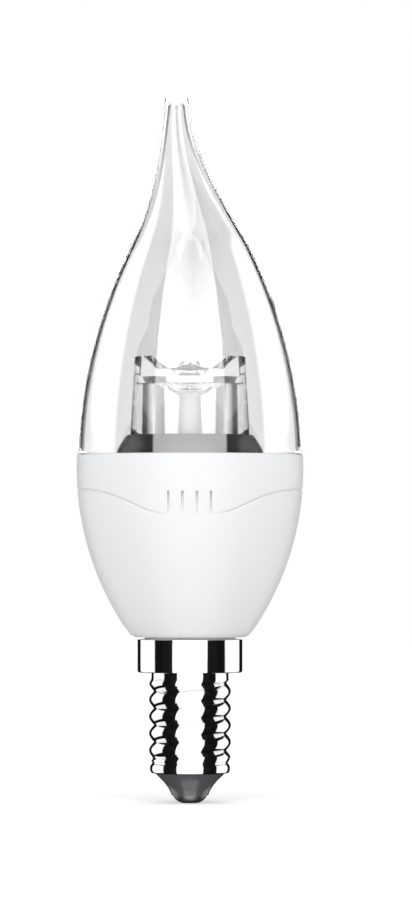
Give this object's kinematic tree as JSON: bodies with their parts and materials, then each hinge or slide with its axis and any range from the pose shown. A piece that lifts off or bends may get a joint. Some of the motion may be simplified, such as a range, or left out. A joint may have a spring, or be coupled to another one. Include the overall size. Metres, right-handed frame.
{
  "type": "led candle bulb",
  "caption": "Candle-shaped LED lamp with a clear flame cover bent over at the tip, a clear light guide, a white housing and a small E14 screw cap.",
  "frame": {"origin": "lowest point of the cap's centre contact, on the lamp's axis", "axes": "+Z from the contact to the tip, -X the way the tip leans, slits on -Y and +Y"},
  "size_m": [0.038, 0.038, 0.1197],
  "materials": {
    "clear_cover_plastic": "polished clear moulding",
    "guide_acrylic": "polished clear moulding",
    "ring_plastic": "satin moulding",
    "board_mask": "white solder mask on aluminium",
    "led_body": "white moulding",
    "led_phosphor": "phosphor in clear resin",
    "screw_steel": "zinc plated",
    "sink_aluminium": "pressed, bare",
    "housing_plastic": "polished white moulding",
    "driver_laminate": "green mask",
    "capacitor_sleeve": "shrunk sleeve",
    "film_box": "epoxy dipped",
    "choke_ferrite": "ground ferrite",
    "choke_copper": "enamelled copper",
    "chip_epoxy": "moulded epoxy",
    "chip_ceramic": "fired",
    "resistor_coat": "lacquered",
    "lead_wire": "tinned copper",
    "lead_sleeve_red": "insulated",
    "lead_sleeve_black": "insulated",
    "cap_nickel": "nickel plated, bright",
    "cap_glass": "black cap glass",
    "contact_metal": "dull nickel"
  },
  "bodies": {
    "root": {"clear_cover": "clear_cover_plastic", "light_guide": "guide_acrylic", "guide_ring": "ring_plastic", "led_board": "board_mask", "led_packages": "led_body", "led_phosphors": "led_phosphor", "board_screws": "screw_steel", "heat_sink": "sink_aluminium", "housing": "housing_plastic", "driver_board": "driver_laminate", "bulk_capacitor": "capacitor_sleeve", "output_capacitor": "capacitor_sleeve", "film_capacitor": "film_box", "choke_core": "choke_ferrite", "choke_winding": "choke_copper", "control_chip": "chip_epoxy", "bridge_rectifier": "chip_epoxy", "chip_parts": "chip_ceramic", "fuse_resistor": "resistor_coat", "live_lead": "lead_wire", "neutral_lead": "lead_wire", "led_lead_positive": "lead_sleeve_red", "led_lead_negative": "lead_sleeve_black", "screw_shell": "cap_nickel", "cap_insulator": "cap_glass", "centre_contact": "contact_metal"}
  },
  "joints": []
}
